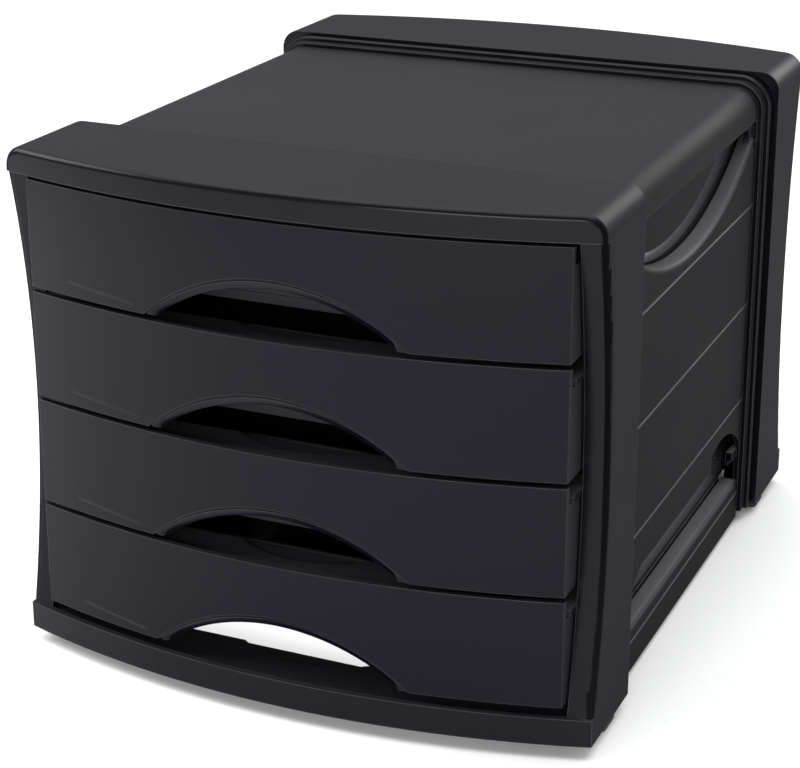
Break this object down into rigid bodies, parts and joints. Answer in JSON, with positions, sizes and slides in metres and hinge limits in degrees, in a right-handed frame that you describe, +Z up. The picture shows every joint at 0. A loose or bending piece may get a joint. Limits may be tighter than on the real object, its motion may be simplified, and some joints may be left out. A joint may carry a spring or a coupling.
{
  "type": "desk letter tray stack with drawers",
  "caption": "Free-standing desk organizer: a black plastic housing with flared end frames and wide bowed drawers, each with an arched finger opening, for flat paper.",
  "frame": {"origin": "centre of the footprint, on the table that the four rubber feet stand on", "axes": "+Z up; the drawers pull out along -Y; +X is to the right of someone facing the drawers"},
  "size_m": [0.285, 0.376, 0.248],
  "materials": {
    "housing_plastic": "satin moulded polystyrene, very fine grain",
    "inner_mouldings": "satin moulded polystyrene, plain inner faces",
    "drawer_front_plastic": "satin moulded polystyrene, smooth faces",
    "tray_plastic": "satin moulded polystyrene",
    "rubber_pads": "matt soft rubber"
  },
  "bodies": {
    "housing": {"front_frame": "housing_plastic", "rear_frame": "housing_plastic", "top_cover": "housing_plastic", "left_side_panel": "housing_plastic", "right_side_panel": "housing_plastic", "back_panel": "inner_mouldings", "upper_cross_rail": "inner_mouldings", "middle_cross_rail": "inner_mouldings", "lower_cross_rail": "inner_mouldings", "front_left_foot": "rubber_pads", "front_right_foot": "rubber_pads", "rear_left_foot": "rubber_pads", "rear_right_foot": "rubber_pads"},
    "drawer_1": {"drawer_1_front": "drawer_front_plastic", "drawer_1_tray": "tray_plastic"},
    "drawer_2": {"drawer_2_front": "drawer_front_plastic", "drawer_2_tray": "tray_plastic"},
    "drawer_3": {"drawer_3_front": "drawer_front_plastic", "drawer_3_tray": "tray_plastic"},
    "drawer_4": {"drawer_4_front": "drawer_front_plastic", "drawer_4_tray": "tray_plastic"}
  },
  "joints": [
    {"name": "drawer_1_slide", "type": "slide", "parent": "housing", "child": "drawer_1", "axis": [0, -1, 0], "range_m": [0, 0.245]},
    {"name": "drawer_2_slide", "type": "slide", "parent": "housing", "child": "drawer_2", "axis": [0, -1, 0], "range_m": [0, 0.245]},
    {"name": "drawer_3_slide", "type": "slide", "parent": "housing", "child": "drawer_3", "axis": [0, -1, 0], "range_m": [0, 0.245]},
    {"name": "drawer_4_slide", "type": "slide", "parent": "housing", "child": "drawer_4", "axis": [0, -1, 0], "range_m": [0, 0.245]}
  ]
}
